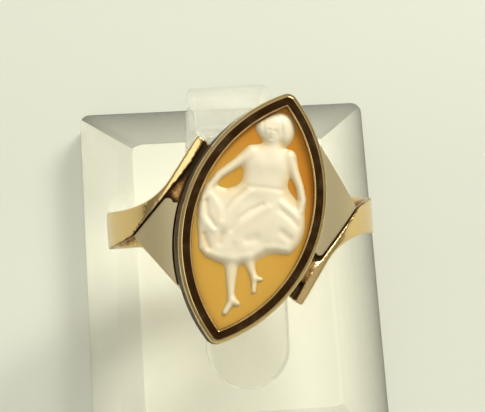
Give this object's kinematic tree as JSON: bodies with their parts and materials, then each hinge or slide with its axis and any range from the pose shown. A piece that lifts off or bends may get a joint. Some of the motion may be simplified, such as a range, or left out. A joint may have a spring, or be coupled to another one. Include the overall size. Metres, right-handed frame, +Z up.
{
  "type": "marquise cameo ring on a clear ring stand",
  "caption": "Gold marquise cameo ring with a raised dancing figure and white gold shoulder plates, hung on the curved clip of a clear bevelled ring stand.",
  "frame": {"origin": "middle of the stand's underside, on the table", "axes": "+Z up, +Y away from the front, +X to the right; the ring's finger hole runs along Y, tipped 13 degrees with its head towards the front"},
  "size_m": [0.025, 0.032, 0.031],
  "materials": {
    "gold_mount": "polished yellow gold with fine wear",
    "left_plate": "satin white gold",
    "right_plate": "satin white gold",
    "cameo_ground": "polished orange shell layer",
    "cameo_figure": "soft polished white shell layer",
    "ring_stand": "clear polished plastic"
  },
  "bodies": {
    "root": {"gold_mount": "gold_mount", "left_plate": "left_plate", "right_plate": "right_plate", "cameo_ground": "cameo_ground", "cameo_figure": "cameo_figure", "ring_stand": "ring_stand"}
  },
  "joints": []
}
